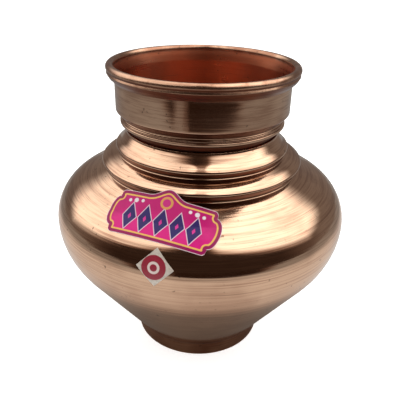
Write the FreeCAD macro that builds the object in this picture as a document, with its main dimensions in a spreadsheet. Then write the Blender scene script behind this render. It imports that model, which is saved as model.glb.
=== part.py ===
import FreeCAD, Part
import math
import os
import re
import Sketcher
from FreeCAD import Placement, Rotation, Vector

# A spun copper water pot (lota).  Two spun shells meet at the belly's greatest
# width, a spun neck with a wired rim stands in the shoulder's upstand, and a
# tapered band brazed under the bowl is the foot.  Z is up, the foot's edge
# stands at z = 0 and the pot's axis is the Z axis.  Millimetres.

os.makedirs("parts", exist_ok=True)
doc = FreeCAD.newDocument("Lota")

SIZES = {
    # sheet copper
    "wall": 0.7,
    "fold_bend": 0.9,
    "corner_bend": 0.4,
    # bowl and belly
    "belly_radius": 55.0,
    "belly_level": 55.0,
    "bowl_bend": 27.2,
    "floor_gap": 5.0,
    "floor_bend": 1.6,
    # foot band
    "foot_radius": 25.5,
    "foot_height": 6.4,
    "foot_flare": 1.1,
    "foot_wall": 1.0,
    # shoulder and its two stepped rings
    "shoulder_bend": 15.75,
    "shoulder_rise": 18.8,
    "step2_radius": 37.5,
    "step2_undercut": 2.0,
    "step2_rise": 3.1,
    "crown_rise": 3.0,
    "crown_inset": 2.5,
    "crown_drop": 1.2,
    "crown_bend": 5.4,
    "step1_radius": 32.1,
    "step1_undercut": 1.1,
    "step1_rise": 2.4,
    "waist_radius": 27.9,
    "waist_rise": 5.3,
    "upstand": 0.8,
    "flare_rise": 4.6,
    "flare_bend": 1.0,
    # neck
    "neck_taper": 0.8,
    "neck_rise": 1.9,
    "bead_swell": 1.9,
    "bead_rise": 0.9,
    "bead_width": 1.3,
    "bead_bend": 0.8,
    "throat_radius": 28.7,
    "throat_rise": 0.9,
    "collar_radius": 31.4,
    "undercut_rise": 2.6,
    "collar_height": 10.6,
    # wired rim
    "rim_radius": 32.8,
    "rim_rise": 14.8,
    "wire_radius": 0.7,
    "hem_gap": 0.08,
    "hem_lap": 0.4,
    # brazing
    "braze_leg": 1.0,
    "braze_depth": 0.45,
    # paper labels
    "label_thickness": 0.12,
    "label_drop": 15.0,
    "label_reach": 0.7,
    "trade_width": 33.0,
    "trade_height": 15.0,
    "trade_bulge": 2.6,
    "trade_arch": 2.8,
    "trade_arch_width": 15.0,
    "trade_lift": 16.3,
    "trade_inset": 10.6,
    "trade_shift": 0.8,
    "trade_tilt": 4.0,
    "trade_azimuth": -17.0,
    "trade_facing": 45.0,
    "badge_side": 8.6,
    "badge_lift": 4.9,
    "badge_inset": 0.7,
    "badge_azimuth": -14.3,
    "badge_facing": 15.0,
}

CELLS = {alias: "Sizes." + alias for alias in SIZES}

sheet = doc.addObject("Spreadsheet::Sheet", "Sizes")
for row, (alias, number) in enumerate(SIZES.items(), start=1):
    sheet.set(f"A{row}", alias)
    sheet.set(f"B{row}", str(number))
    sheet.setAlias(f"B{row}", alias)
doc.recompute()

# Levels and radii that several pieces share, each written as a sum of sizes.
STEP2_FOOT = ("step2_radius - step2_undercut", "belly_level + shoulder_rise")
STEP2_FOLD = ("step2_radius", f"{STEP2_FOOT[1]} + step2_rise")
STEP1_FOOT = ("step1_radius - step1_undercut", f"{STEP2_FOLD[1]} + crown_rise")
CROWN = ("step2_radius - crown_inset", f"{STEP1_FOOT[1]} - crown_drop")
STEP1_FOLD = ("step1_radius", f"{STEP1_FOOT[1]} + step1_rise")
WAIST_LEVEL = f"{STEP1_FOLD[1]} + waist_rise"
SKIRT_RADIUS = "waist_radius - wall"
SKIRT_LEVEL = f"{WAIST_LEVEL} - upstand"
NECK_LEVEL = f"{WAIST_LEVEL} + neck_rise"
NECK_RADIUS = f"{SKIRT_RADIUS} + neck_taper"
BEAD_RADIUS = f"{NECK_RADIUS} + bead_swell"
BEAD_LEVEL = f"{NECK_LEVEL} + bead_rise"
BEAD_TOP = f"{BEAD_LEVEL} + bead_width"
THROAT_LEVEL = f"{BEAD_TOP} + throat_rise"
COLLAR_LEVEL = f"{THROAT_LEVEL} + undercut_rise"
FLARE_LEVEL = f"{COLLAR_LEVEL} + collar_height"
RIM_CENTRE = ("rim_radius", f"{COLLAR_LEVEL} + rim_rise")
FOOT_TOP = ("foot_radius + foot_flare", "foot_height")
BOWL_CENTRE = ("belly_radius - bowl_bend", "belly_level")
SHOULDER_CENTRE = ("belly_radius - shoulder_bend", "belly_level")
BELLY = ("belly_radius", "belly_level")


def cone_facing(through, centre, bend, side):
    """Which way a straight cone faces, in degrees above the horizontal, that
    runs through a place and touches the belly's arc above or below it."""
    across, drop = f"({through[0]} - ({centre[0]}))", f"({through[1]} - ({centre[1]}))"
    return f"(atan2({drop}; {across}) {side} acos({bend} / sqrt({across}^2 + {drop}^2)))"


def cone_radius(level):
    """The bowl's cone runs down through the foot's upper edge: its radius
    at a level."""
    facing = cone_facing(FOOT_TOP, BOWL_CENTRE, "bowl_bend", "+")
    rise = f"({level} - belly_level)"
    return f"{BOWL_CENTRE[0]} + (bowl_bend - sin({facing}) * {rise}) / cos({facing})"


def shoulder_level(radius):
    """The shoulder's cone runs up to the foot of the lower ring: its level
    at a radius."""
    facing = cone_facing(STEP2_FOOT, SHOULDER_CENTRE, "shoulder_bend", "-")
    reach = f"({radius} - ({SHOULDER_CENTRE[0]}))"
    return f"belly_level + (shoulder_bend - cos({facing}) * {reach}) / sin({facing})"


def value(expression):
    """The number that an expression in the sheet's aliases stands for."""
    return float(sheet.evalExpression(expression))


def bound(expression):
    """The same expression with every alias named as a cell of the sheet."""
    return re.sub(r"[a-z]\w*", lambda word: CELLS.get(word.group(), word.group()), expression)


def point(place):
    return Vector(value(place[0]), value(place[1]), 0)


def tangent_point(outside, centre, radius, turn, leaving):
    """Where a straight run touches a circle travelled anticlockwise (turn 1)
    or clockwise (turn -1), the run leaving it for a point outside or
    arriving from one."""
    reach = outside - centre
    spread = math.acos(radius / reach.Length)
    angle = math.atan2(reach.y, reach.x) - (spread if leaving else -spread) * turn
    return centre + Vector(math.cos(angle), math.sin(angle), 0) * radius


class Outline:
    """A sketch drawn as one run of straight lines and tangent arcs.

    corner() is a place where two straight runs meet, sharp or with a bend;
    round() is an arc of known centre and radius that the straight runs
    touch.  Every place is bound to the sheet."""

    def __init__(self, sketch):
        self.sketch = sketch
        self.steps = []

    def corner(self, place, bend=None):
        self.steps.append({"place": place, "bend": bend})
        return self

    def round(self, centre, radius, turn=1, start=None, end=None):
        self.steps.append({"centre": centre, "bend": radius, "turn": turn,
                           "start": start, "end": end})
        return self

    def constrain(self, kind, *where, expression=None):
        number = () if expression is None else (value(expression),)
        index = self.sketch.addConstraint(Sketcher.Constraint(kind, *where, *number))
        if expression is not None:
            self.sketch.setExpression(f"Constraints[{index}]", bound(expression))

    def pin(self, geometry, end, place):
        """Fix a point of the sketch at a radius and a height."""
        for kind, distance, axis in (("DistanceX", place[0], -2), ("DistanceY", place[1], -1)):
            if distance == "0":
                self.constrain("PointOnObject", geometry, end, axis)
            else:
                self.constrain(kind, -1, 1, geometry, end, expression=distance)

    def run_end(self, step, other, leaving):
        """The end, at one step, of the straight run to or from another."""
        if "centre" in step:
            fixed = step["end"] if leaving else step["start"]
            if fixed:
                return point(fixed)
            return tangent_point(point(other["place"]), point(step["centre"]),
                                 value(step["bend"]), step["turn"], leaving)
        return point(step["place"])

    def draw(self):
        count = len(self.steps)
        for index, step in enumerate(self.steps):
            before = self.steps[index - 1] if index > 0 else None
            after = self.steps[index + 1] if index + 1 < count else None
            step["entry"] = self.run_end(step, before, False)
            step["exit"] = self.run_end(step, after, True)
        for index, step in enumerate(self.steps):
            step["arc"] = None
            if "centre" in step:
                self.draw_round(step)
            elif step["bend"]:
                self.draw_bend(step, self.steps[index - 1], self.steps[index + 1])
        runs = []
        for first, second in zip(self.steps, self.steps[1:]):
            runs.append(self.draw_run(first, second))
        for index in range(1, count - 1):
            self.hold_corner(self.steps[index], runs[index - 1], runs[index])
        for step, run, end in ((self.steps[0], runs[0], 1), (self.steps[-1], runs[-1], 2)):
            if "place" in step:
                self.pin(run, end, step["place"])
        return self.sketch

    def add_arc(self, step, centre, radius, start, end, turn):
        """Draw a step's arc, noting the ends that the outline enters and
        leaves by: a sketch's arc always runs anticlockwise."""
        ends = (start, end) if turn > 0 else (end, start)
        angles = [math.atan2(place.y - centre.y, place.x - centre.x) for place in ends]
        circle = Part.Circle(centre, Vector(0, 0, 1), radius)
        arc = self.sketch.addGeometry(Part.ArcOfCircle(circle, *angles), False)
        step["arc"] = (arc, 1, 2) if turn > 0 else (arc, 2, 1)

    def draw_round(self, step):
        self.add_arc(step, point(step["centre"]), value(step["bend"]),
                     step["entry"], step["exit"], step["turn"])
        arc, first, last = step["arc"]
        self.pin(arc, 3, step["centre"])
        if step["start"]:
            self.pin(arc, first, step["start"])
            if step["end"]:
                self.constrain("DistanceY", -1, 1, arc, last, expression=step["end"][1])
        elif step["end"]:
            self.pin(arc, last, step["end"])
        else:
            self.constrain("Radius", arc, expression=step["bend"])

    def draw_bend(self, step, before, after):
        here = point(step["place"])
        back = (here - before["exit"]).normalize()
        ahead = (after["entry"] - here).normalize()
        radius = value(step["bend"])
        trim = radius * math.tan(back.getAngle(ahead) / 2)
        turn = 1 if back.cross(ahead).z > 0 else -1
        step["entry"] = here - back * trim
        step["exit"] = here + ahead * trim
        centre = step["entry"] + Vector(-back.y, back.x, 0) * (radius * turn)
        self.add_arc(step, centre, radius, step["entry"], step["exit"], turn)
        self.constrain("Radius", step["arc"][0], expression=step["bend"])

    def draw_run(self, first, second):
        """The straight run between two steps, if they don't already meet."""
        if (first["exit"] - second["entry"]).Length < 1e-6:
            return None
        run = self.sketch.addGeometry(Part.LineSegment(first["exit"], second["entry"]), False)
        if first["arc"]:
            self.constrain("Tangent", first["arc"][0], first["arc"][2], run, 1)
        if second["arc"]:
            self.constrain("Tangent", run, 2, second["arc"][0], second["arc"][1])
        return run

    def hold_corner(self, step, before, after):
        """Keep both runs through a corner's place."""
        if "centre" in step:
            return
        if step["bend"]:
            mark = self.sketch.addGeometry(Part.Point(point(step["place"])), True)
            self.pin(mark, 1, step["place"])
            self.constrain("PointOnObject", mark, 1, before)
            self.constrain("PointOnObject", mark, 1, after)
        else:
            self.constrain("Coincident", before, 2, after, 1)
            self.pin(after, 1, step["place"])


def upright_sketch(name):
    """A sketch on the plane y = 0, across is +X and up is +Z."""
    sketch = doc.addObject("Sketcher::SketchObject", name)
    sketch.Placement = Placement(Vector(0, 0, 0), Rotation(Vector(1, 0, 0), 90))
    return sketch


def sheet_shell(name, path, thickness):
    """Sheet metal or paper: its outer line, thickened and spun once round."""
    section = doc.addObject("Part::Offset2D", name + "_section")
    section.Source = path
    section.Mode = "Skin"
    section.Fill = True
    section.Join = "Intersection"
    section.setExpression("Value", bound(thickness))
    shell = doc.addObject("Part::Revolution", name)
    shell.Source = section
    shell.Axis = Vector(0, 0, 1)
    shell.Angle = 360
    shell.Solid = True
    shell.Label = name
    return shell


def ring_body(name, corners):
    """A solid ring of straight-sided section, as a body with one revolution."""
    body = doc.addObject("PartDesign::Body", name)
    body.Label = name
    sketch = body.newObject("Sketcher::SketchObject", name + "_section")
    plane = next(f for f in body.Origin.OriginFeatures if f.Role == "XZ_Plane")
    sketch.AttachmentSupport = (plane, "")
    sketch.MapMode = "FlatFace"
    outline = Outline(sketch)
    places = [point(corner) for corner in corners]
    lines = []
    for first, second in zip(places, places[1:] + places[:1]):
        lines.append(sketch.addGeometry(Part.LineSegment(first, second), False))
    for index, corner in enumerate(corners):
        outline.constrain("Coincident", lines[index - 1], 2, lines[index], 1)
        outline.pin(lines[index], 1, corner)
    revolution = body.newObject("PartDesign::Revolution", name + "_turn")
    revolution.Profile = sketch
    revolution.ReferenceAxis = (sketch, ["V_Axis"])
    revolution.Angle = 360
    return body


def cut_away(name, blank, tools):
    """A blank with the pieces that it lies against cut out of it."""
    for count, tool in enumerate(tools):
        cut = doc.addObject("Part::Cut", f"{name}_fit_{count}")
        cut.Base = blank
        cut.Tool = tool
        blank = cut
    blank.Label = name
    return blank


# ---- spun shells

def make_belly_bowl():
    """Closed floor, a straight cone up from the foot and the round of the
    belly up to its greatest width, where the shell's edge is the seam."""
    path = Outline(upright_sketch("bowl_path"))
    path.corner(("0", "floor_gap"))
    path.corner((cone_radius("floor_gap"), "floor_gap"), "floor_bend")
    path.round(BOWL_CENTRE, "bowl_bend", end=BELLY)
    return sheet_shell("belly_bowl", path.draw(), "wall")


def make_shoulder_shell():
    """From the belly seam over the shoulder, up the two stepped rings, each
    undercut below its fold, to the short upstand at the waist."""
    flare = ("waist_radius", f"{STEP1_FOLD[1]} + flare_rise")
    path = Outline(upright_sketch("shoulder_path"))
    path.round(SHOULDER_CENTRE, "shoulder_bend", start=BELLY)
    path.corner(STEP2_FOOT, "corner_bend")
    path.corner(STEP2_FOLD, "fold_bend")
    path.corner(CROWN, "crown_bend")
    path.corner(STEP1_FOOT, "corner_bend")
    path.corner(STEP1_FOLD, "fold_bend")
    path.corner(flare, "flare_bend")
    path.corner(("waist_radius", WAIST_LEVEL))
    return sheet_shell("shoulder_shell", path.draw(), "wall")


def make_neck_collar():
    """From the skirt inside the shoulder's upstand, over the bead and the
    undercut throat, up the collar and round the rim wire to the hem."""
    path = Outline(upright_sketch("neck_path"))
    path.corner((SKIRT_RADIUS, SKIRT_LEVEL))
    path.corner((SKIRT_RADIUS, WAIST_LEVEL))
    path.corner((NECK_RADIUS, NECK_LEVEL), "corner_bend")
    path.corner((BEAD_RADIUS, BEAD_LEVEL), "bead_bend")
    path.corner((BEAD_RADIUS, BEAD_TOP), "bead_bend")
    path.corner(("throat_radius", THROAT_LEVEL), "corner_bend")
    path.corner(("collar_radius", COLLAR_LEVEL), "bead_bend")
    path.corner(("collar_radius", FLARE_LEVEL), "fold_bend")
    path.round(RIM_CENTRE, "wire_radius", turn=-1)
    path.corner(("collar_radius + hem_gap", f"{FLARE_LEVEL} - hem_lap"))
    return sheet_shell("neck_collar", path.draw(), "-wall")


# ---- rim wire, foot band and brazing

def make_rim_wire():
    """The wire that the rim is rolled round."""
    wire = doc.addObject("Part::Torus", "rim_wire")
    wire.Label = "rim_wire"
    wire.setExpression("Radius1", "Sizes.rim_radius")
    wire.setExpression("Radius2", "Sizes.wire_radius")
    wire.setExpression("Placement.Base.z", bound(RIM_CENTRE[1]))
    return wire


def make_foot_ring():
    """A tapered band whose upper edge is mitred to the bowl's cone."""
    return ring_body("foot_ring", [
        ("foot_radius", "0"),
        FOOT_TOP,
        (cone_radius("floor_gap"), "floor_gap"),
        ("foot_radius - foot_wall", "0"),
    ])


def make_foot_seam_braze():
    """Filler in the corner between the bowl's floor and the foot band."""
    corner = cone_radius("floor_gap")
    inner = "(foot_radius - foot_wall)"
    blank = ring_body("foot_braze_blank", [
        (corner, "floor_gap"),
        (f"{corner} - floor_bend - braze_leg", "floor_gap"),
        (f"{inner} + ({corner} - {inner}) * (floor_gap - braze_leg) / floor_gap",
         "floor_gap - braze_leg"),
    ])
    return cut_away("foot_seam_braze", blank, [])


def make_belly_seam_braze(bowl, shoulder):
    """A low bead of filler inside, along the butted edges of the two shells."""
    face = "belly_radius - wall"
    blank = ring_body("belly_braze_blank", [
        (f"{face} + wall / 4", "belly_level - braze_leg"),
        (f"{face} + wall / 4", "belly_level + braze_leg"),
        (f"{face} - braze_depth", "belly_level + braze_leg / 2"),
        (f"{face} - braze_depth", "belly_level - braze_leg / 2"),
    ])
    return cut_away("belly_seam_braze", blank, [bowl, shoulder])


def make_neck_seam_braze(shoulder):
    """Filler under the skirt's edge, run out onto the shoulder's inside."""
    blank = ring_body("neck_braze_blank", [
        (f"{SKIRT_RADIUS} - wall", SKIRT_LEVEL),
        (f"{SKIRT_RADIUS} + wall / 4", SKIRT_LEVEL),
        (f"{SKIRT_RADIUS} + wall / 4", f"{SKIRT_LEVEL} - braze_leg"),
    ])
    return cut_away("neck_seam_braze", blank, [shoulder])


# ---- paper labels

def make_label_skin(name):
    """Paper laid on the belly from just under the seam up onto the flatter
    shoulder, and from there straight up to the fold of the lower ring."""
    facing = cone_facing(STEP2_FOOT, SHOULDER_CENTRE, "shoulder_bend", "-")
    lift_off = f"{SHOULDER_CENTRE[0]} + shoulder_bend * cos({facing}) - label_reach"
    start = ("belly_radius - bowl_bend * (1 - cos(label_drop))",
             "belly_level - bowl_bend * sin(label_drop)")
    path = Outline(upright_sketch(name + "_path"))
    path.round(BOWL_CENTRE, "bowl_bend", start=start, end=BELLY)
    path.round(SHOULDER_CENTRE, "shoulder_bend", start=BELLY)
    path.corner((lift_off, shoulder_level(lift_off)))
    path.corner(STEP2_FOLD)
    return sheet_shell(name, path.draw(), "-label_thickness")


def facing_sketch(label, across="0", turn="0"):
    """A sketch on a plane through the pot's axis that faces outwards, with
    its origin in line with the place on the belly where the label sits, a
    lift above the greatest width and an inset from it."""
    azimuth, elevation = value(f"{label}_azimuth"), value(f"{label}_facing")
    facing = Rotation(Vector(0, 0, 1), azimuth) * Rotation(Vector(1, 0, 0), 90 - elevation)
    along = (f"(belly_level + {label}_lift) * cos({label}_facing)"
             f" - (belly_radius - {label}_inset) * sin({label}_facing)")
    origin = facing.multVec(Vector(value(across), value(along), 0))
    sketch = doc.addObject("Sketcher::SketchObject", label + "_outline")
    sketch.Placement = Placement(origin, facing * Rotation(Vector(0, 0, 1), -value(turn)))
    return sketch


def make_label(name, outline):
    """The part of the paper skin that lies inside a label's outline."""
    skin = make_label_skin(name + "_skin")
    prism = doc.addObject("Part::Extrusion", name + "_prism")
    prism.Base = outline
    prism.DirMode = "Normal"
    prism.Solid = True
    prism.setExpression("LengthFwd", "2 * Sizes.belly_radius")
    label = doc.addObject("Part::Common", name)
    label.Base = skin
    label.Tool = prism
    label.Label = name
    return label


def closed_outline(sketch, corners, swells):
    """A closed outline through corners; a side that has a swell is an arc
    through that place and the others are straight."""
    pen = Outline(sketch)
    sides = []
    for index, corner in enumerate(corners):
        first, last = point(corner), point(corners[(index + 1) % len(corners)])
        if index in swells:
            side = Part.Arc(first, point(swells[index]), last)
            number = sketch.addGeometry(side, False)
            mark = sketch.addGeometry(Part.Point(point(swells[index])), True)
            pen.pin(mark, 1, swells[index])
            pen.constrain("PointOnObject", mark, 1, number)
        else:
            number = sketch.addGeometry(Part.LineSegment(first, last), False)
        sides.append(number)
    for index, corner in enumerate(corners):
        pen.constrain("Coincident", sides[index - 1], 2, sides[index], 1)
        pen.pin(sides[index], 1, corner)
    return sketch


def make_trade_label():
    """A wide label with bulging ends and a low arch over its middle."""
    sketch = facing_sketch("trade", "trade_shift", "trade_tilt")
    side, edge = "trade_width / 2", "trade_height / 2"
    spring = "trade_arch_width / 2"
    corners = [(f"-{side}", f"-{edge}"), (side, f"-{edge}"), (side, edge),
               (spring, edge), (f"-{spring}", edge), (f"-{side}", edge)]
    swells = {
        1: (f"{side} + trade_bulge", "0"),
        3: ("0", f"{edge} + trade_arch"),
        5: (f"-{side} - trade_bulge", "0"),
    }
    return make_label("trade_label", closed_outline(sketch, corners, swells))


def make_size_label():
    """A small square label stuck on cornerwise."""
    sketch = facing_sketch("badge")
    reach = "badge_side / sqrt(2)"
    corners = [("0", f"-{reach}"), (reach, "0"), ("0", reach), (f"-{reach}", "0")]
    return make_label("size_label", closed_outline(sketch, corners, {}))


bowl = make_belly_bowl()
shoulder = make_shoulder_shell()
pieces = [
    make_neck_collar(),
    make_rim_wire(),
    shoulder,
    bowl,
    make_foot_ring(),
    make_neck_seam_braze(shoulder),
    make_belly_seam_braze(bowl, shoulder),
    make_foot_seam_braze(),
    make_trade_label(),
    make_size_label(),
]
doc.recompute()

for item in doc.Objects:
    if "Invalid" in item.State or "Error" in item.State:
        raise RuntimeError(f"{item.Label} failed to recompute: {item.State}")
for piece in pieces:
    if piece.Shape.isNull() or not piece.Shape.isValid() or piece.Shape.Volume <= 0:
        raise RuntimeError(f"{piece.Label} has no valid solid")
for piece in pieces:
    piece.Shape.exportStep(f"parts/{piece.Label}.step")
    box = piece.Shape.BoundBox
    print(f"{piece.Label}: {len(piece.Shape.Solids)} solid, {piece.Shape.Volume:.1f} mm3, "
          f"z {box.ZMin:.2f} to {box.ZMax:.2f}, reach {box.XMax:.2f}")
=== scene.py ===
# %% [markdown]
# # A spun copper lota
# A lota is a round-bellied water pot. It is spun from copper sheet in three shells (neck, shoulder
# and bowl), brazed together, stood on a tapered foot band and buffed while it turns on a lathe.
# This notebook rebuilds the visible surfaces of the pot as fine lathe-turned meshes around a
# fixed CAD model, gives them worn copper, and sets the pot on a white table in a dim room, with a
# cloth-covered lamp at each side.

# %% The fixed frame
import math
import bpy
from mathutils import Matrix, Vector


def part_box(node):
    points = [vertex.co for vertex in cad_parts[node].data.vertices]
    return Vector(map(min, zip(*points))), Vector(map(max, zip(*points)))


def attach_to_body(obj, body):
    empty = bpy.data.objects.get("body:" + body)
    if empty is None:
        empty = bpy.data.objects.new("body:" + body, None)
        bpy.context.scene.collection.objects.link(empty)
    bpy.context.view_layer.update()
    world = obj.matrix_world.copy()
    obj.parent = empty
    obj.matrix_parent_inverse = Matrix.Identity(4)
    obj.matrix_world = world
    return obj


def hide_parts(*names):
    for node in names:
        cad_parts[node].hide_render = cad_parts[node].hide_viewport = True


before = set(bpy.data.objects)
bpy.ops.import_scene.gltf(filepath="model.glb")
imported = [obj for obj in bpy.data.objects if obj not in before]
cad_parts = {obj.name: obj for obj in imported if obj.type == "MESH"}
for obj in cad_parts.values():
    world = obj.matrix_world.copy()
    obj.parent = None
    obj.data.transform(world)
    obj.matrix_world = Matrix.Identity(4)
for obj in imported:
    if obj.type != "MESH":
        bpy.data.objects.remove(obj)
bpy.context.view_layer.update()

scene = bpy.context.scene
MM = 0.001

# %% [markdown]
# ## Sizes
# The overall sizes are read from the CAD nodes, so the turned meshes can't drift away from them.
# The rest are the maker's own dimensions for the rings and bends, in millimetres. Their levels are
# counted from the ones that were read. Reading what exists and naming what doesn't keeps one truth.

# %% Sizes read from the frame
def node_size(node):
    """Outer radius, lowest and highest level of a CAD node, in millimetres."""
    low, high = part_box(node)
    return high.x / MM, low.z / MM, high.z / MM


BELLY_R, BELLY_Z, WAIST_Z = node_size("shoulder_shell")
FOOT_TOP_R, FOOT_Z, FOOT_TOP_Z = node_size("foot_ring")
RIM_R, SKIRT_Z, RIM_Z = node_size("neck_collar")
FLOOR_Z = node_size("belly_bowl")[1]
WALL = 0.7
print(f"belly {BELLY_R:.2f} at {BELLY_Z:.2f}, waist {WAIST_Z:.2f}, rim {RIM_R:.2f} at {RIM_Z:.2f}")

# %% [markdown]
# ## The turned section
# Every shell has a section made of straight runs and bends. `bent_line` takes the corners with
# their bend radii and walks along them, putting short steps on the bends. Typing the section as
# corners rather than as a long list of points keeps each ring readable and easy to change.

# %% Straight runs and bends
STEP = math.radians(6)


def arc_points(centre, radius, start, end):
    """Points on an arc from one angle to another, in degrees."""
    first, last = math.radians(start), math.radians(end)
    count = max(2, round(abs(last - first) / STEP))
    angles = [first + (last - first) * i / count for i in range(count + 1)]
    return [Vector((centre[0] + radius * math.cos(a), centre[1] + radius * math.sin(a))) for a in angles]


def bend_points(before, corner, after, radius):
    """The corner replaced by an arc that both runs touch."""
    back = (corner - before).normalized()
    ahead = (after - corner).normalized()
    turn = back.angle_signed(ahead)
    trim = abs(radius * math.tan(turn / 2))
    start = corner - back * trim
    side = Vector((back.y, -back.x)) if turn > 0 else Vector((-back.y, back.x))
    centre = start + side * radius
    count = max(2, round(abs(turn) / STEP))
    points = []
    for i in range(count + 1):
        angle = -turn * i / count
        spoke = start - centre
        points.append(centre + Vector((spoke.x * math.cos(angle) - spoke.y * math.sin(angle),
                                       spoke.x * math.sin(angle) + spoke.y * math.cos(angle))))
    return points


def bent_line(corners):
    """A run of points through (radius, level, bend) corners; a corner with no bend stays sharp."""
    places = [Vector(c[:2]) for c in corners]
    points = [places[0]]
    for i in range(1, len(corners) - 1):
        bend = corners[i][2] if len(corners[i]) > 2 else 0
        if bend:
            points += bend_points(points[-1], places[i], places[i + 1], bend)
        else:
            points.append(places[i])
    return points + [places[-1]]


def inset(points, distance):
    """The same line moved sideways by the sheet's thickness, to its left."""
    moved = []
    for i, point in enumerate(points):
        before = points[max(i - 1, 0)]
        after = points[min(i + 1, len(points) - 1)]
        along = (after - before).normalized()
        moved.append(point + Vector((-along.y, along.x)) * distance)
    return moved


def split_long(points, longest=0.8):
    """Long straight runs divided, so that smooth shading stays near each bend."""
    fine = [points[0]]
    for before, after in zip(points, points[1:]):
        count = max(1, math.ceil((after - before).length / longest))
        fine += [before.lerp(after, i / count) for i in range(1, count + 1)]
    return fine


# %% [markdown]
# ## Where the two cones touch the belly
# The bowl's cone and the shoulder's cone are each the tangent from a known place to the belly's
# round. Working the tangent out keeps the surface free of a kink, which polished metal would show
# as a hard line in its reflections.

# %% Tangent angles
BOWL_BEND = 27.2
SHOULDER_BEND = 15.75
SHOULDER_RISE = 18.8
STEP2_FOOT = (35.5, BELLY_Z + SHOULDER_RISE)
BOWL_CENTRE = (BELLY_R - BOWL_BEND, BELLY_Z)
SHOULDER_CENTRE = (BELLY_R - SHOULDER_BEND, BELLY_Z)


def tangent_angle(place, centre, radius, side):
    """The angle, in degrees, at which the tangent from a place touches a circle."""
    across, up = place[0] - centre[0], place[1] - centre[1]
    spread = math.acos(radius / math.hypot(across, up))
    return math.degrees(math.atan2(up, across) + side * spread)


bowl_angle = tangent_angle((FOOT_TOP_R, FOOT_TOP_Z), BOWL_CENTRE, BOWL_BEND, 1)
shoulder_angle = tangent_angle(STEP2_FOOT, SHOULDER_CENTRE, SHOULDER_BEND, -1)
print(f"bowl cone touches at {bowl_angle:.1f} degrees, shoulder cone at {shoulder_angle:.1f}")


def bowl_radius(level):
    """Outer radius of the bowl's straight cone."""
    facing = math.radians(bowl_angle)
    return BOWL_CENTRE[0] + (BOWL_BEND - math.sin(facing) * (level - BELLY_Z)) / math.cos(facing)


# %% [markdown]
# ## Sections of the four turned pieces
# Bowl and shoulder have a wall of even thickness, so each is an outer line and the same line moved
# in by the wall. The neck is different: its lip is rolled round a wire and the hem comes back down
# the outside, so its outer and inner lines are drawn one by one, with the fine notch where the
# hem's edge stands off the collar. The foot is a solid tapered band. Corners are given as radius,
# level and bend. Outer points above the belly that face downward are marked, and the copper is
# later darkened there to brown as painted shade.

# %% Section helpers
EASE = 0.6
OVERHANG = -14
# Painted shade on overhangs starts this far above the belly's widest level.
OVERHANG_SHADE_FROM = BELLY_Z + 5


def eased_arc(centre, radius, start, end):
    """An arc with short first or last steps, so that the shading at a seam runs straight on."""
    points = arc_points(centre, radius, start, end)
    if start == 0:
        return arc_points(centre, radius, 0, EASE) + points[1:]
    return points[:-1] + arc_points(centre, radius, end - EASE, end)


def shell_section(outer):
    """A closed section from an outer line, and which of its points face the inside."""
    outer = split_long(outer)
    inner = inset(outer, WALL)[::-1]
    return outer + inner, [0.0] * len(outer) + [1.0] * len(inner)


def overhang_shade_mask(section):
    """Which outer points overhang, 0 to 1 and softened by their neighbours: the mask of the painted
    shade.
    """
    points, inside = section
    marks = []
    for i, point in enumerate(points):
        along = points[(i + 1) % len(points)] - points[i - 1]
        facing = math.degrees(math.atan2(-along.x, along.y))
        marks.append(1.0 if facing < OVERHANG and not inside[i] and point.y > OVERHANG_SHADE_FROM else 0.0)
    return [(marks[i - 1] + 2 * marks[i] + marks[(i + 1) % len(marks)]) / 4 for i in range(len(marks))]


# %% Bowl and shoulder
bowl_line = bent_line([(0, FLOOR_Z), (bowl_radius(FLOOR_Z), FLOOR_Z, 1.6),
                       tuple(arc_points(BOWL_CENTRE, BOWL_BEND, bowl_angle, 0)[0])])
bowl_line += eased_arc(BOWL_CENTRE, BOWL_BEND, bowl_angle, 0)[1:]
bowl_section = shell_section(bowl_line)

FOLD2_R = 37.5
FOLD2_Z = STEP2_FOOT[1] + 3.1
CROWN_R = 35.0
FOOT1_R = 31.0
FOOT1_Z = FOLD2_Z + 3.0
FOLD1_R = 32.1
FOLD1_Z = FOOT1_Z + 2.4
FLARE_R = 30.0
LAP_R = 27.9
shoulder_line = eased_arc(SHOULDER_CENTRE, SHOULDER_BEND, 0, shoulder_angle)
shoulder_line += bent_line([
    tuple(shoulder_line[-1]), (*STEP2_FOOT, 0.4), (FOLD2_R, FOLD2_Z, 0.9),
    (CROWN_R, FOOT1_Z - 1.2, 5.4), (FOOT1_R, FOOT1_Z, 0.4), (FOLD1_R, FOLD1_Z, 0.9),
    (FLARE_R, FOLD1_Z + 1.7, 4.0), (28.0, WAIST_Z - 0.6, 0.6), (LAP_R, WAIST_Z, 0.1),
    (27.7, WAIST_Z)])[1:]
shoulder_section = shell_section(shoulder_line)
print("bowl", len(bowl_section[0]), "and shoulder", len(shoulder_section[0]), "section points")

# %% Neck and foot
SKIRT_R = 27.2
SKIRT_BORE_R = 26.5
BEAD_R = 29.95
COLLAR_R = 31.4
BORE_R = 30.7
COLLAR_Z = WAIST_Z + 7.6
RIM_TUBE = 1.4
RIM_CENTRE = (RIM_R - RIM_TUBE, RIM_Z - RIM_TUBE)
ROLL_FROM = -28
ROLL_TO = 186
neck_outer = bent_line([
    (SKIRT_R, SKIRT_Z), (SKIRT_R, WAIST_Z, 0.3), (28.1, WAIST_Z + 1.9, 0.3),
    (BEAD_R, WAIST_Z + 2.8, 0.5), (BEAD_R, WAIST_Z + 3.75, 0.35), (29.35, WAIST_Z + 4.0, 0.1),
    (29.65, WAIST_Z + 4.35, 0.2), (29.5, WAIST_Z + 4.7, 0.2), (28.7, WAIST_Z + 5.0, 0.4),
    (COLLAR_R, COLLAR_Z, 0.7), (COLLAR_R, COLLAR_Z + 10.2, 0.05), (31.8, COLLAR_Z + 10.3, 0.1),
    (33.25, COLLAR_Z + 11.7, 0.6), (34.05, COLLAR_Z + 13.05, 0.35), (33.75, COLLAR_Z + 13.75, 0.1),
    tuple(arc_points(RIM_CENTRE, RIM_TUBE, ROLL_FROM, 0)[0])])
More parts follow.
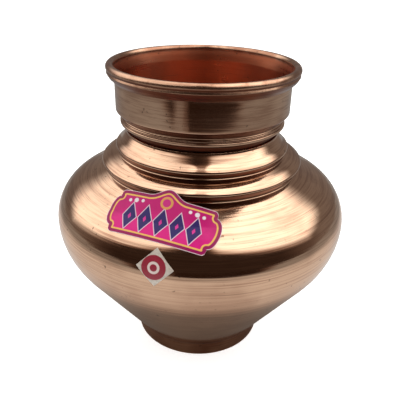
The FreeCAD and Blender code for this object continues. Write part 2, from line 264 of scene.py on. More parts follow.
neck_rim = arc_points(RIM_CENTRE, RIM_TUBE, ROLL_FROM, ROLL_TO)[1:]
neck_inner = bent_line([
    tuple(neck_rim[-1]), (BORE_R, COLLAR_Z + 10.4, 2.0), (BORE_R, COLLAR_Z + 0.2, 0.4),
    (27.9, WAIST_Z + 5.2, 0.6), (28.9, WAIST_Z + 3.6, 0.6), (27.4, WAIST_Z + 2.2, 0.6),
    (SKIRT_BORE_R, WAIST_Z, 0.6), (SKIRT_BORE_R, SKIRT_Z)])[1:]
neck_outside = split_long(neck_outer + neck_rim)
neck_within = split_long([neck_rim[-1]] + neck_inner)[1:]
neck_section = (neck_outside + neck_within, [0.0] * len(neck_outside) + [1.0] * len(neck_within))

FOOT_R = 25.0
FILLET_Z = FOOT_TOP_Z + 1.4
foot_line = bent_line([
    (FOOT_R, FOOT_Z), (25.5, FOOT_Z, 0.25), (FOOT_TOP_R - 0.05, FOOT_TOP_Z - 0.2, 1.6),
    (bowl_radius(FILLET_Z) + 0.02, FILLET_Z)])
foot_line += [Vector((bowl_radius(FLOOR_Z) - 0.1, FLOOR_Z + 0.1)), Vector((24.5, FOOT_Z + 0.2)),
              Vector((24.7, FOOT_Z))]
foot_points = split_long(foot_line + foot_line[:1])[:-1]
foot_section = (foot_points, [0.0] * len(foot_points))
print("neck", len(neck_section[0]), "and foot", len(foot_section[0]), "section points")

# %% [markdown]
# ## The lathe
# A real shell is turned, so the mesh is turned too: a Geometry Nodes tree takes the section as a
# ring of points and lays it round the axis on a grid. Each column of the grid is the section at
# one angle. A slow noise moves the wall in and out by about a hundredth of a millimetre, as a hand-
# spun wall does, and its seed is an input, so that the same pot comes out each time. Three numbers
# are stored on every point for the finish: whether it is inside the pot, how far it lies along the
# section, and whether it overhangs, which marks where the finish paints shade.

# %% Node helper
class Socket:
    """One value in a node tree; the operators add Math nodes to the tree."""

    def __init__(self, tree, link):
        self.tree = tree
        self.link = link

    def node(self, kind, settings=None, out=0, **inputs):
        return add_node(self.tree, kind, settings, out, **inputs)

    def math(self, operation, *others):
        names = {f"i{i}": value for i, value in enumerate((self, *others))}
        return self.node("Math", {"operation": operation}, **names)

    def __add__(self, other):
        return self.math("ADD", other)

    def __sub__(self, other):
        return self.math("SUBTRACT", other)

    def __rsub__(self, other):
        return self.node("Math", {"operation": "SUBTRACT"}, i0=other, i1=self)

    def __mul__(self, other):
        return self.math("MULTIPLY", other)

    def __truediv__(self, other):
        return self.math("DIVIDE", other)

    __radd__ = __add__
    __rmul__ = __mul__

    def clamp(self):
        return self.math("MAXIMUM", 0.0).math("MINIMUM", 1.0)

    def absolute(self):
        return self.math("ABSOLUTE")

    def step(self, low, high):
        """0 below low, 1 above high, smooth between; low may be the higher."""
        return self.node("MapRange", {"interpolation_type": "SMOOTHSTEP"},
                         Value=self, From_Min=low, From_Max=high)


def add_node(tree, kind, settings=None, out=0, **inputs):
    """A node of a kind, its settings first and then its sockets, as one output."""
    family = "ShaderNode" if hasattr(bpy.types, "ShaderNode" + kind) else "GeometryNode"
    made = tree.nodes.new(family + kind)
    for key, setting in (settings or {}).items():
        setattr(made, key, setting)
    for key, value in inputs.items():
        if key[0] == "i" and key[1:].isdigit():
            socket = made.inputs[int(key[1:])]
        else:
            label = key.replace("_", " ")
            socket = next(s for s in made.inputs if s.name == label and s.enabled)
        if isinstance(value, Socket):
            tree.links.new(value.link, socket)
        else:
            socket.default_value = value
    if isinstance(out, int):
        return Socket(tree, made.outputs[out])
    return Socket(tree, next(s for s in made.outputs if s.name == out and s.enabled))


def split(vector):
    """The three numbers of a vector socket."""
    made = vector.tree.nodes.new("ShaderNodeSeparateXYZ")
    vector.tree.links.new(vector.link, made.inputs[0])
    return [Socket(vector.tree, output) for output in made.outputs]


# %% The lathe tree
SHARPEST_SMOOTH = math.radians(42)
WELD = 2e-6


def make_lathe():
    """The Geometry Nodes tree that turns a section, and the identifiers of its inputs."""
    tree = bpy.data.node_groups.new("lathe", "GeometryNodeTree")
    wires = {}
    for name, kind in (("Section", "NodeSocketGeometry"), ("Columns", "NodeSocketInt"),
                       ("Waver", "NodeSocketFloat"), ("Seed", "NodeSocketFloat"),
                       ("Finish", "NodeSocketMaterial")):
        wires[name] = tree.interface.new_socket(name, in_out="INPUT", socket_type=kind).identifier
    tree.interface.new_socket("Turned", in_out="OUTPUT", socket_type="NodeSocketGeometry")
    group = tree.nodes.new("NodeGroupInput")
    given = {name: Socket(tree, group.outputs[name]) for name in wires}

    count = add_node(tree, "AttributeDomainSize", out="Point Count", Geometry=given["Section"])
    grid = add_node(tree, "MeshGrid", Vertices_X=given["Columns"] + 1, Vertices_Y=count + 1)
    index = add_node(tree, "InputIndex")
    rows = count + 1
    column = (index / rows).math("FLOOR")
    row = index - column * rows
    row = row - count * row.math("GREATER_THAN", count - 0.5)

    def section_value(kind, field, out):
        return add_node(tree, "SampleIndex", {"data_type": kind, "domain": "POINT"}, out,
                        Geometry=given["Section"], Value=field, Index=row)

    radius, _, level = split(section_value("FLOAT_VECTOR", add_node(tree, "InputPosition"), 0))
    angle = column / given["Columns"] * math.tau
    east, north = angle.math("COSINE"), angle.math("SINE")
    around = add_node(tree, "CombineXYZ", X=east * 1.3, Y=north * 1.3, Z=level * 25)
    noise = add_node(tree, "TexNoise", {"noise_dimensions": "4D"}, Vector=around, W=given["Seed"],
                     Scale=1.0, Detail=1.0)
    reach = radius * ((noise - 0.5) * given["Waver"] + 1.0)
    place = add_node(tree, "CombineXYZ", X=reach * east, Y=reach * north, Z=level)
    shape = add_node(tree, "SetPosition", Geometry=grid, Position=place)
    # The third number masks the painted shade under overhangs.
    for name in ("inside", "run", "overhang_shade"):
        field = add_node(tree, "InputNamedAttribute", {"data_type": "FLOAT"}, Name=name)
        value = section_value("FLOAT", field, 0)
        shape = add_node(tree, "StoreNamedAttribute", {"data_type": "FLOAT", "domain": "POINT"},
                         Geometry=shape, Name=name, Value=value)
    shape = add_node(tree, "MergeByDistance", Geometry=shape, Distance=WELD)
    edge = add_node(tree, "InputMeshEdgeAngle")
    shape = add_node(tree, "SetShadeSmooth", {"domain": "FACE"}, Geometry=shape, Shade_Smooth=True)
    shape = add_node(tree, "SetShadeSmooth", {"domain": "EDGE"}, Geometry=shape,
                     Shade_Smooth=edge.math("LESS_THAN", SHARPEST_SMOOTH))
    shape = add_node(tree, "RealizeInstances", Geometry=shape)
    shape = add_node(tree, "SetMaterial", Geometry=shape, Material=given["Finish"])
    end = tree.nodes.new("NodeGroupOutput")
    tree.links.new(shape.link, end.inputs[0])
    return tree, wires


lathe, lathe_inputs = make_lathe()
print("lathe tree with", len(lathe.nodes), "nodes")


# %% Turning a section
def turn(name, section, finish, seed, waver=0.0006, columns=256):
    """A finished plain mesh, turned from a closed section."""
    points, inside = section
    mesh = bpy.data.meshes.new(name + "_section")
    mesh.from_pydata([(p.x * MM, 0, p.y * MM) for p in points], [], [])
    run = 0.0
    runs = [0.0]
    for before, after in zip(points, points[1:]):
        run += (after - before).length
        runs.append(run)
    # The last attribute masks the painted shade under overhangs.
    for label, values in (("inside", inside), ("run", runs), ("overhang_shade", overhang_shade_mask(section))):
        mesh.attributes.new(label, "FLOAT", "POINT").data.foreach_set("value", values)
    blank = bpy.data.objects.new(name + "_blank", mesh)
    scene.collection.objects.link(blank)
    modifier = blank.modifiers.new("lathe", "NODES")
    modifier.node_group = lathe
    for label, value in (("Columns", columns), ("Waver", waver), ("Seed", seed), ("Finish", finish)):
        modifier[lathe_inputs[label]] = value
    seen = blank.evaluated_get(bpy.context.evaluated_depsgraph_get())
    turned = bpy.data.meshes.new_from_object(seen)
    bpy.data.objects.remove(blank)
    turned.name = name
    if turned_inside_out(turned):
        turned.flip_normals()
    piece = bpy.data.objects.new(name, turned)
    scene.collection.objects.link(piece)
    print(name, len(turned.vertices), "vertices", len(turned.polygons), "faces")
    return piece


def turned_inside_out(mesh):
    """Whether a closed mesh's faces point inwards: its signed volume is then negative."""
    volume = 0.0
    for face in mesh.polygons:
        corners = [mesh.vertices[i].co for i in face.vertices]
        for second, third in zip(corners[1:], corners[2:]):
            volume += corners[0].dot(second.cross(third))
    return volume < 0


# %% [markdown]
# ## Copper
# Buffed copper is a bare metal, so its colour is all in its reflections. Three things break them
# up: the fine lines that the polishing cloth leaves round the pot, slow cloudy tarnish, and small
# dark specks where water dried. The lines follow the turning, so they are a noise that changes
# quickly along the section and slowly round it. One function makes every copper on the pot, from
# the polished shells to the raw foot band, because they differ only in how much they were worked.
# The colours, depths and thresholds were settled by trying them on the pot.

# %% Starting a finish
def start_finish(name, **constants):
    """A new material, its node tree and its shader, with the shader's constants set."""
    material = bpy.data.materials.new(name)
    material.use_nodes = True
    tree = material.node_tree
    shader = tree.nodes["Principled BSDF"]
    for label, value in constants.items():
        shader.inputs[label.replace("_", " ")].default_value = value
    return material, tree, shader


def colour_mix(tree, factor, first, second):
    """One colour turning into another."""
    colours = [c if isinstance(c, Socket) else (*c, 1.0) for c in (first, second)]
    return add_node(tree, "Mix", {"data_type": "RGBA"}, 2, i0=factor, i6=colours[0], i7=colours[1])


def attribute(tree, name):
    return add_node(tree, "Attribute", {"attribute_name": name}, "Fac")


def noise(tree, vector, scale, detail=2.0, roughness=0.5):
    return add_node(tree, "TexNoise", None, 0, Vector=vector, Scale=scale, Detail=detail,
                    Roughness=roughness)


def use(tree, shader, label, value):
    tree.links.new(value.link, shader.inputs[label])


def use_bump(tree, shader, height, distance):
    """A height in 0 to 1 that stands up by a distance in millimetres."""
    bump = add_node(tree, "Bump", None, 0, Height=height, Distance=distance * MM, Strength=1.0)
    use(tree, shader, "Normal", bump)


# %% Copper in several states
WORN_RIM = (0.36, 0.17, 0.105)
FIRED_INSIDE = (0.52, 0.155, 0.075)
# Brown of the painted shade on overhangs.
OVERHANG_SHADE_BROWN = (0.13, 0.044, 0.024)
RIM_FROM = 0.1070
RIM_TO = 0.1092


def copper(name, clean, aged, dull, lines, tarnish, turned=True):
    """Copper: its two colours, its roughness, the depth of its lines in mm, and its tarnish."""
    material, tree, shader = start_finish(name, Metallic=1.0, Anisotropic=0.7,
                                          Anisotropic_Rotation=0.25)
    place = add_node(tree, "TexCoord", out="Object")
    x, y, z = split(place)
    radius = (x * x + y * y).math("SQRT") + 1e-5
    east, north = x / radius, y / radius
    along = attribute(tree, "run") if turned else (z + radius) * 1000
    inside = attribute(tree, "inside")
    # Mask of the painted shade under overhangs.
    overhang_shade = attribute(tree, "overhang_shade")

    def round_lines(round_rate, along_rate, detail, roughness=0.5):
        """A noise that changes at one rate round the pot and at another along its section."""
        spot = add_node(tree, "CombineXYZ", X=east * round_rate, Y=north * round_rate,
                        Z=along * along_rate)
        return noise(tree, spot, 1.0, detail, roughness)

    fine = round_lines(1.6, 4.2, 3.0)
    broad = round_lines(0.8, 1.15, 1.0)
    streak = round_lines(2.6, 1.9, 4.0, 0.6)
    ring = round_lines(0.5, 0.75, 4.0, 0.6)
    cloud = noise(tree, place, 34.0, 3.0, 0.6)
    fleck = noise(tree, place, 620.0, 1.0)
    smear = noise(tree, place, 95.0, 4.0, 0.62)

    rim = z.step(RIM_FROM, RIM_TO)
    mottle = smear.step(0.40, 0.60)
    handled = 0.35 + z.step(0.045, 0.062) * 0.65
    banded = (streak.step(0.44, 0.70) * 0.7 + ring.step(0.50, 0.68) * 0.5) * handled
    worn = (cloud.step(0.42, 0.68) * 0.55 + banded) * tarnish
    specks = fleck.step(0.69, 0.75) * smear.step(0.44, 0.60) * (0.3 + tarnish * 0.4)
    tone = colour_mix(tree, worn.clamp(), clean, aged)
    tone = colour_mix(tree, rim * (0.30 + mottle * 0.6), tone, WORN_RIM)
    tone = colour_mix(tree, inside * (0.62 + cloud * 0.5), tone, FIRED_INSIDE)
    grime = specks + fine.step(0.60, 0.78) * 0.45 + (fine - 0.5).absolute() * 0.3
    tone = colour_mix(tree, grime.clamp(), tone, tuple(v * 0.28 for v in aged))
    # Painted shade: overhangs darkened to brown, broken up by the streaks.
    tone = colour_mix(tree, (overhang_shade * (0.75 + streak * 0.5)).clamp(), tone, OVERHANG_SHADE_BROWN)
    use(tree, shader, "Base Color", tone)
    rough = dull + overhang_shade * 0.22 + rim * 0.14 + (smear - 0.45) * 0.06 + worn * 0.05
    rough = rough + fine.step(0.55, 0.8) * 0.03 + inside * 0.20
    use(tree, shader, "Roughness", rough.math("MAXIMUM", 0.03))
    height = fine * 0.9 + broad * 1.6 + noise(tree, place, 60.0, 2.0) * 5.0
    use_bump(tree, shader, height, lines)
    return material


polished = copper("polished_copper", clean=(0.80, 0.525, 0.36), aged=(0.49, 0.28, 0.185),
                  dull=0.068, lines=0.008, tarnish=1.0)
raw = copper("raw_copper", clean=(0.50, 0.27, 0.17), aged=(0.28, 0.115, 0.065),
             dull=0.30, lines=0.014, tarnish=1.5)
wire = copper("wire_copper", clean=(0.64, 0.38, 0.26), aged=(0.44, 0.21, 0.13),
              dull=0.24, lines=0.006, tarnish=1.0, turned=False)
print("coppers:", polished.name, raw.name, wire.name)


# %% [markdown]
# ## Brazing filler
# The three fillets of filler metal are inside the joints and barely seen. Filler is yellower and
# duller than copper, with a grainy skin from the flux, so a coarse noise mixes two tones and a fine
# one roughens and bumps it.

# %% Brazing filler
def brazing_filler():
    material, tree, shader = start_finish("brazing_filler", Metallic=1.0)
    place = add_node(tree, "TexCoord", out="Object")
    grain = noise(tree, place, 900.0, 3.0)
    patch = noise(tree, place, 120.0, 2.0)
    use(tree, shader, "Base Color", colour_mix(tree, patch.step(0.35, 0.65), (0.56, 0.40, 0.20),
                                               (0.30, 0.16, 0.08)))
    use(tree, shader, "Roughness", 0.38 + grain * 0.3)
    use_bump(tree, shader, grain, 0.08)
    return material


filler = brazing_filler()
print("filler:", filler.name)

# %% [markdown]
# ## The four turned pieces
# Each section now goes through the lathe. Shoulder and bowl share a seed, so that their slow waver
# agrees at the belly's seam. Each mesh stands for the plain CAD solid of its part, which stays for
# the physics. The rim's wire and the brazing are right as they are and only get their finish.

# %% Turn and attach the shells
def attach(piece, node):
    """A piece rides on the pot's one body and stands for a CAD node."""
    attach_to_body(piece, "root")
    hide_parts(node)


for name, node, section, finish, slot, seed in (
        ("neck_turned", "neck_collar", neck_section, polished, "polished_copper", 3.0),
        ("shoulder_turned", "shoulder_shell", shoulder_section, polished, "polished_copper", 8.0),
        ("bowl_turned", "belly_bowl", bowl_section, polished, "polished_copper", 8.0),
        ("foot_turned", "foot_ring", foot_section, raw, "raw_copper", 21.0)):
    attach(turn(name, section, finish, seed), node)

CAD_FINISHES = {"rim_wire": wire, "neck_seam_braze": filler, "belly_seam_braze": filler,
                "foot_seam_braze": filler}
for node, finish in CAD_FINISHES.items():
    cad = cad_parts[node]
    cad.data.materials.clear()
    cad.data.materials.append(finish)
    print(node, "finished in", finish.name)

# %% [markdown]
# ## Labels that lie on the copper
# A paper label bends with the pot. Each label is drawn flat, in millimetres on a slanted sheet in
# front of the pot, and every point is then pushed straight back onto the skin. The skin is the
# shoulder's outer line with the dip below the fold bridged, because paper spans it. Solving each
# point by halving an interval is slow but close to exact, and the larger label has fewer than
# twenty thousand points.

# %% The skin under the labels
def skin_line():
    """Outer line of belly and shoulder, straight across the dip below the fold."""
    points = arc_points(BOWL_CENTRE, BOWL_BEND, -30, 0)
    points += arc_points(SHOULDER_CENTRE, SHOULDER_BEND, 0, shoulder_angle)[1:]
    last, foot = points[-1], Vector(STEP2_FOOT)
    lift_off = last.lerp(foot, 0.08)
    fold = Vector((FOLD2_R, FOLD2_Z))
    return points + [lift_off, fold, fold + (fold - lift_off) * 0.4]


skin = skin_line()
print("skin of", len(skin), "points up to", round(skin[-1].y, 2))


def skin_radius(level):
    """Radius of the skin at a level, and 0 above or below it."""
    for low, high in zip(skin, skin[1:]):
        if low.y <= level <= high.y:
            return low.x + (high.x - low.x) * (level - low.y) / (high.y - low.y)
    return 0.0


# %% Sheets pressed onto the skin
REACH = 12.0
HALVINGS = 26
PAPER_FACE = 0.12
PAPER_BACK = 0.012
SHEET_SPAN = 40


class Sheet:
    """A slanted plane that touches the pot: its azimuth and facing, and a point of the skin."""

    def __init__(self, azimuth, facing, radius, level, shift=0.0, tilt=0.0):
        turn_z, lean = math.radians(azimuth), math.radians(facing)
        across = Vector((math.cos(turn_z), math.sin(turn_z), 0))
        up = Vector((-math.sin(turn_z) * math.sin(lean), math.cos(turn_z) * math.sin(lean),
                     math.cos(lean)))
        self.out = across.cross(up)
        slope = math.radians(tilt)
        self.across = across * math.cos(slope) + up * math.sin(slope)
        self.up = up * math.cos(slope) - across * math.sin(slope)
        self.middle = Vector((radius * math.sin(turn_z), -radius * math.cos(turn_z), level))
        self.middle += across * shift

    def pressed(self, a, b, lift):
        """The point at (a, b) on the sheet, moved back until it lies on the skin, then lifted."""
        start = self.middle + self.across * a + self.up * b
        far, near = -REACH, REACH
        for _ in range(HALVINGS):
            middle = (far + near) / 2
            point = start + self.out * middle
            if math.hypot(point.x, point.y) > skin_radius(point.z):
                near = middle
            else:
                far = middle
        return start + self.out * (near + lift)


def label_piece(name, sheet, columns, rows, place, edge, finish):
    """A closed thin label: place(i, j) gives (a, b), edge(a, b) the distance to the outline."""
    vertices, flat, margins = [], [], []
    for lift in (PAPER_FACE, PAPER_BACK):
        for i in range(columns + 1):
            for j in range(rows + 1):
                a, b = place(i / columns, j / rows)
                vertices.append(sheet.pressed(a, b, lift) * MM)
                flat.append((a / SHEET_SPAN + 0.5, b / SHEET_SPAN + 0.5))
                margins.append(edge(a, b))
    count = (columns + 1) * (rows + 1)
    faces = []
    for i in range(columns):
        for j in range(rows):
            corner = i * (rows + 1) + j
            loop = (corner, corner + rows + 1, corner + rows + 2, corner + 1)
            faces.append(loop)
            faces.append(tuple(count + k for k in reversed(loop)))
    border = [i * (rows + 1) for i in range(columns + 1)]
    border += [columns * (rows + 1) + j for j in range(1, rows + 1)]
    border += [i * (rows + 1) + rows for i in range(columns - 1, -1, -1)]
    border += [j for j in range(rows - 1, 0, -1)]
    for first, second in zip(border, border[1:] + border[:1]):
        faces.append((second, first, first + count, second + count))
    mesh = bpy.data.meshes.new(name)
    mesh.from_pydata(vertices, [], faces)
    uv = mesh.uv_layers.new(name="print")
    for loop in mesh.loops:
        uv.data[loop.index].uv = flat[loop.vertex_index]
    mesh.attributes.new("margin", "FLOAT", "POINT").data.foreach_set("value", margins)
    mesh.materials.append(finish)
    mesh.shade_smooth()
    mesh.set_sharp_from_angle(angle=math.radians(50))
    piece = bpy.data.objects.new(name, mesh)
    scene.collection.objects.link(piece)
    print(name, len(mesh.polygons), "faces, inside out:", turned_inside_out(mesh))
    return piece


# %% [markdown]
# ## Printed trade label
# The maker's label is a glossy magenta ticket with bulging ends, small notches at its corners and
# an arch on top. A gold line runs inside its edge. The real label's words and figures are not
# copied: a plain row of navy lozenges with a pale outline, a few pale dots and a blank medal stand
# in for them. The distance to the outline is stored on each point, so the gold line follows it.

# %% Outline of the trade label
HALF = 16.5
HEIGHT = 7.5
BULGE = 2.7
BULGE_HEIGHT = 5.3
CORNER = 1.3
ARCH = 2.8
ARCH_HALF = 7.0
ARCH_POWER = 1.3
OUTLINE_STEPS = 240
TOUCHING = 1e-4


def label_reach(s):
    """Distance from the middle at a share, 0 to 1, of the ticket's length; finer at the ends."""
    return (HALF + BULGE) * math.sin(math.pi * (s - 0.5))


def label_half(a):
    """Half the ticket's height at a distance from its middle."""
    a = abs(a)
    if a < HALF - CORNER:
        return HEIGHT
    if a < HALF:
        return HEIGHT - CORNER + math.sqrt(max(CORNER ** 2 - (a - HALF + CORNER) ** 2, 0))
    return BULGE_HEIGHT * math.sqrt(max(1 - ((a - HALF) / BULGE) ** 2, 0.0))


def label_top(a):
    """The ticket's upper edge, with its arch."""
    spread = min(abs(a) / ARCH_HALF, 1.0)
    return label_half(a) + ARCH * (0.5 + 0.5 * math.cos(math.pi * spread)) ** ARCH_POWER


outline = []
for i in range(OUTLINE_STEPS + 1):
    a = label_reach(i / OUTLINE_STEPS)
    outline += [(a, label_top(a)), (a, -label_half(a))]
print("outline of", len(outline), "points")


def ticket_place(s, t):
    """A point of the ticket from its shares of the length and of the height there."""
    a = label_reach(s) * 0.9995
    low, high = -label_half(a), label_top(a)
    return a, low + (high - low) * t


def ticket_edge(a, b):
    """Distance to the ticket's outline."""
    if b >= label_top(a) - TOUCHING or b <= -label_half(a) + TOUCHING:
        return 0.0
    return min(math.hypot(a - p, b - q) for p, q in outline)


# %% Print of the trade label
MAGENTA = (0.74, 0.006, 0.23)
MAGENTA_LOW = (0.55, 0.002, 0.16)
DEEP_BORDER = (0.33, 0.006, 0.10)
GOLD = (0.90, 0.55, 0.13)
PALE_OUTLINE = (0.80, 0.62, 0.72)
NAVY = (0.028, 0.012, 0.13)
PINK = (0.70, 0.03, 0.30)
PALE_DOT = (0.88, 0.80, 0.84)
MEDAL = (0.75, 0.36, 0.10)
MEDAL_MIDDLE = (0.62, 0.02, 0.22)
CUT_EDGE = (0.82, 0.66, 0.70)
INK_FLECK = (0.30, 0.02, 0.12)
LOZENGE_PITCH = 5.5
DOTS = ((12.6, 4.3, 0.55), (10.4, 4.6, 0.75), (8.1, 4.8, 0.55))


def sheet_place(tree):
    """The place on a label's sheet in millimetres from its middle, and its share of the height."""
    u, v, _ = split(add_node(tree, "TexCoord", out="UV"))
    return (u - 0.5) * SHEET_SPAN, (v - 0.5) * SHEET_SPAN, v


def trade_print():
    """Glossy magenta print with a gold line, a row of lozenges, dots and a plain medal."""
    material, tree, shader = start_finish("printed_label", Coat_Roughness=0.1,
                                          Specular_IOR_Level=0.2)
    a, b, v = sheet_place(tree)
    margin = attribute(tree, "margin")
    place = add_node(tree, "TexCoord", out="Object")
    ink = noise(tree, place, 900.0, 2.0)
    wrinkle = noise(tree, place, 150.0, 3.0)

    def disc(x, y, size):
        return (((a - x) * (a - x) + (b - y) * (b - y)).math("SQRT") - size).step(0.12, -0.12)

    across = ((a / LOZENGE_PITCH + 0.5).math("FRACT") - 0.5).absolute() * LOZENGE_PITCH
    lozenge = across * 1.5 + (b + 0.9).absolute() * 0.80
    row = a.absolute().step(13.85, 13.7)
    gold = margin.step(1.12, 1.22) * margin.step(1.74, 1.64)
    tone = colour_mix(tree, (v + (wrinkle - 0.5) * 0.5).step(0.38, 0.62), MAGENTA, MAGENTA_LOW)
    tone = colour_mix(tree, margin.step(1.42, 1.32), tone, DEEP_BORDER)
    tone = colour_mix(tree, gold, tone, GOLD)
    tone = colour_mix(tree, lozenge.step(4.1, 3.95) * row, tone, PALE_OUTLINE)
    tone = colour_mix(tree, lozenge.step(3.65, 3.5) * row, tone, NAVY)
    tone = colour_mix(tree, lozenge.step(0.95, 0.8) * row, tone, PINK)
    for side in (-1, 1):
        for x, y, size in DOTS:
            tone = colour_mix(tree, disc(side * x, y, size), tone, PALE_DOT)
    tone = colour_mix(tree, disc(0, 5.7, 2.1), tone, MEDAL)
    tone = colour_mix(tree, disc(0, 5.7, 1.35), tone, MEDAL_MIDDLE)
    tone = colour_mix(tree, margin.step(0.22, 0.12), tone, CUT_EDGE)
    tone = colour_mix(tree, ink.step(0.62, 0.9) * 0.3, tone, INK_FLECK)
    use(tree, shader, "Base Color", tone)
    use(tree, shader, "Roughness", 0.34 + wrinkle * 0.16)
    use(tree, shader, "Coat Weight", 0.16 - gold * 0.1)
    use_bump(tree, shader, wrinkle, 0.06)
    return material


trade_sheet = Sheet(azimuth=-17, facing=45, radius=BELLY_R - 10.6, level=BELLY_Z + 16.3,
                    shift=0.8, tilt=-4)
trade = label_piece("trade_label_print", trade_sheet, columns=150, rows=56, place=ticket_place,
                    edge=ticket_edge, finish=trade_print())
attach(trade, "trade_label")

# %% [markdown]
# ## Size sticker
# The small sticker is a square of matt cream paper stuck on one corner, with a dark red disc. The
# real one has a figure in its disc. A plain pale ring stands in for it.

# %% Size sticker
SIDE = 8.6
CREAM = (0.60, 0.54, 0.47)
CREAM_AGED = (0.47, 0.41, 0.35)
DARK_RED = (0.30, 0.006, 0.028)
PALE_RING = (0.72, 0.60, 0.56)


def sticker_print():
    """Cream paper with a dark red disc and a pale ring in it."""
    material, tree, shader = start_finish("size_paper", Coat_Roughness=0.25)
    a, b, _ = sheet_place(tree)
    place = add_node(tree, "TexCoord", out="Object")
    fibre = noise(tree, place, 1400.0, 3.0)
    away = ((a + 0.35) * (a + 0.35) + b * b).math("SQRT")
    tone = colour_mix(tree, fibre.step(0.3, 0.75), CREAM, CREAM_AGED)
    tone = colour_mix(tree, away.step(4.0, 3.85), tone, DARK_RED)
    tone = colour_mix(tree, (away - 1.55).absolute().step(0.46, 0.34), tone, PALE_RING)
    use(tree, shader, "Base Color", tone)
    use(tree, shader, "Roughness", 0.42 + fibre * 0.2)
    use(tree, shader, "Coat Weight", 0.25 + fibre * 0.2)
    use_bump(tree, shader, fibre, 0.03)
    return material


def sticker_place(s, t):
    """A point of the square, which stands on one corner, from its shares of the two sides."""
    p, q = (s - 0.5) * SIDE, (t - 0.5) * SIDE
    return (p - q) * math.sqrt(0.5), (p + q) * math.sqrt(0.5)


def sticker_edge(a, b):
    """Distance to the square's outline."""
    return SIDE / 2 - max(abs(a + b), abs(a - b)) * math.sqrt(0.5)


size_sheet = Sheet(azimuth=-14.3, facing=15, radius=BELLY_R - 0.7, level=BELLY_Z + 4.9)
sticker = label_piece("size_label_print", size_sheet, columns=30, rows=30, place=sticker_place,
                      edge=sticker_edge, finish=sticker_print())
attach(sticker, "size_label")

# %% [markdown]
# ## Lamps and table
# Polished metal shows only what stands round it, so the room matters as much as the copper. The
# pot stands on a white table in a dim room, with a large cloth-covered lamp at each side. The
# room in front stays dark, which gives the collar, the folds and the belt of the belly their deep
# brown. One glowing dome carries both lamps as soft-edged shapes. A square just above the floor is
# the table as the copper sees it: bright, with the pot's shadow painted into its glow under the
# belly and painted copper light bounced onto it there, and fading far away. Neither shows to
# the camera, which sees the plain pale floor and a white backdrop.

# %% Glowing surfaces
TO_DEGREES = 180 / math.pi


def glow(name, build):
    """A light with a brightness and a colour worked out from the place on it."""
    material = bpy.data.materials.new(name)
    material.use_nodes = True
    tree = material.node_tree
    tree.nodes.clear()
    place = add_node(tree, "TexCoord", out="Object")
    colour, strength = build(tree, place)
    light = add_node(tree, "Emission", None, 0, Color=colour, Strength=strength)
    out = tree.nodes.new("ShaderNodeOutputMaterial")
    tree.links.new(light.link, out.inputs["Surface"])
    return material


def direction(place):
    """A place's azimuth in degrees, 0 in front and positive to the right, radius and level."""
    x, y, z = split(place)
    return x.math("ARCTAN2", y * -1) * TO_DEGREES, (x * x + y * y).math("SQRT"), z


# %% Light of the room and of the table
LAMP_LEVEL = 2.0
ROOM_LEVEL = 0.038
EYE_LEVEL = 0.05
CLOTH_WHITE = (1.0, 0.985, 0.955)
ROOM_BROWN = (1.0, 0.62, 0.46)
TABLE_WHITE = (1.0, 0.99, 0.97)
# Painted light bounced off the copper onto the table near the pot.
PAINTED_COPPER_BOUNCE = (1.0, 0.80, 0.66)
FRONT_BROWN = (1.0, 0.5, 0.32)


def room_light(tree, place):
    """Dim room, darkest in front, with a lamp on each side that climbs over the pot."""
    azimuth, radius, z = direction(place)
    aside = azimuth.absolute()
    height = (z - EYE_LEVEL).math("ARCTAN2", radius) * TO_DEGREES
    right = (height - 22 - (azimuth - 88).absolute() * 0.4).step(-13, 6)
    left = (height - 8 - (azimuth + 108).absolute() * 0.5).step(-9, 8)
    behind = aside.step(55, 110)
    sides = 1 - height.step(46, 20) * 0.45 * aside.step(110, 150)
    gap = aside.step(8, 19).math("MAXIMUM", height.step(72, 84))
    lamps = (right * LAMP_LEVEL).math("MAXIMUM", left * LAMP_LEVEL * 0.72)
    lit = lamps * (0.12 + gap * 0.88) * sides
    colour = colour_mix(tree, (lit + behind * 0.7).clamp(), ROOM_BROWN, CLOTH_WHITE)
    return colour, lit + behind * 0.17 + ROOM_LEVEL


def table_light(tree, place):
    """White table: a painted shadow of the pot close to it, with painted copper light bounced onto it
    there, bright round it, dim far away and dark in front.
    """
    azimuth, radius, _ = direction(place)
    depth = split(place)[1]
    # Painted shadow of the pot: the glow drops and turns copper close to the pot.
    near = radius.step(0.024, 0.080)
    far = radius.step(0.150, 0.300)
    ragged = noise(tree, place, 14.0, 3.0) - 0.5
    strip = (azimuth + 27 + ragged * 26).absolute().step(10, 3)
    front = depth.step(-0.235, -0.300) * azimuth.absolute().step(62, 38) * (1 - strip * 0.8)
    bright = 0.13 + near * 0.60
    level = bright * (1 - far) + (0.30 - front * 0.275) * far
    colour = colour_mix(tree, near, PAINTED_COPPER_BOUNCE, TABLE_WHITE)
    colour = colour_mix(tree, front * far, colour, FRONT_BROWN)
    return colour, level


# %% Dome, table and floor
ROOM_R = 0.9
FLOOR_HALF = 3.0
TABLE_LIFT = 0.0002


def stage_piece(name, mesh, finish):
    """A piece of the surroundings, which is no part of the pot."""
    mesh.materials.append(finish)
    made = bpy.data.objects.new(name, mesh)
    scene.collection.objects.link(made)
    return made


def dome_mesh(radius, columns=48, rows=14):
    """The upper half of a ball, in rings from the floor up, closed by one point."""
    mesh = bpy.data.meshes.new("dome")
    points, faces = [], []
    for row in range(rows):
        lift = math.pi / 2 * row / rows
        for column in range(columns):
            turn_z = math.tau * column / columns
            points.append(Vector((math.cos(turn_z) * math.cos(lift), math.sin(turn_z) * math.cos(lift),
                                  math.sin(lift))) * radius)
    points.append(Vector((0, 0, radius)))
    for row in range(rows):
        for column in range(columns):
            first, after = row * columns + column, row * columns + (column + 1) % columns
            if row == rows - 1:
                faces.append((first, after, len(points) - 1))
            else:
                faces.append((first, after, after + columns, first + columns))
    mesh.from_pydata(points, [], faces)
    return mesh


def square_mesh(name, half, level):
    """A level square about the axis."""
    mesh = bpy.data.meshes.new(name)
    mesh.from_pydata([(-half, -half, level), (half, -half, level), (half, half, level),
                      (-half, half, level)], [], [(0, 1, 2, 3)])
    return mesh


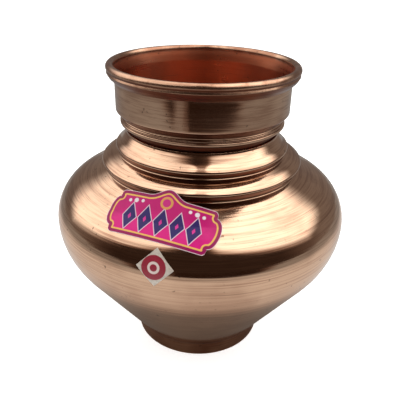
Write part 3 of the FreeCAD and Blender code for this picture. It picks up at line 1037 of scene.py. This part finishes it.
dome = stage_piece("lit_room", dome_mesh(ROOM_R), glow("room_light", room_light))
dome.visible_camera = False
table = stage_piece("table_light", square_mesh("table_light", ROOM_R, TABLE_LIFT),
                    glow("table_light", table_light))
table.visible_camera = False
table.visible_diffuse = False
table.visible_shadow = False


# %% Floor and backdrop
def floor_finish():
    """Pale floor that glows a little, so that it stays even all round the pot."""
    material, tree, shader = start_finish("pale_floor", Roughness=0.7)
    grain = noise(tree, add_node(tree, "TexCoord", out="Object"), 60.0, 2.0)
    use(tree, shader, "Base Color", colour_mix(tree, grain, (0.86, 0.86, 0.86), (0.80, 0.80, 0.80)))
    shader.inputs["Emission Color"].default_value = (1, 1, 1, 1)
    shader.inputs["Emission Strength"].default_value = 0.75
    return material


floor = stage_piece("floor", square_mesh("floor", FLOOR_HALF, 0.0), floor_finish())
floor.visible_glossy = False

world = bpy.data.worlds.new("white_room")
world.use_nodes = True
world.node_tree.nodes["Background"].inputs["Color"].default_value = (1.0, 1.0, 1.0, 1.0)
world.node_tree.nodes["Background"].inputs["Strength"].default_value = 1.0
scene.world = world
scene.view_settings.view_transform = "Standard"
print("stage:", dome.name, table.name, floor.name)

# %% [markdown]
# ## Camera
# The pot is looked down on from close by, with a normal lens and the camera a little off level.
# The three angles and the place are set as numbers, and the camera's axes are built from them.

# %% Camera
CAMERA_PLACE = Vector((0, -178.2, 146.4)) * MM
PITCH = math.radians(26.67)
YAW = math.radians(-0.06)
ROLL = math.radians(1.39)
ahead = Vector((math.sin(YAW) * math.cos(PITCH), math.cos(YAW) * math.cos(PITCH), -math.sin(PITCH)))
level_right = Vector((math.cos(YAW), -math.sin(YAW), 0))
level_up = level_right.cross(ahead)
right = level_right * math.cos(ROLL) + level_up * math.sin(ROLL)
up = level_up * math.cos(ROLL) - level_right * math.sin(ROLL)
lens = bpy.data.cameras.new("camera")
lens.lens = 45
lens.sensor_width = 36
lens.clip_start = 0.01
camera = bpy.data.objects.new("camera", lens)
scene.collection.objects.link(camera)
turned = Matrix((right, up, -ahead)).transposed().to_4x4()
camera.matrix_world = Matrix.Translation(CAMERA_PLACE) @ turned
scene.camera = camera
print("camera at", [round(v, 4) for v in camera.matrix_world.translation])
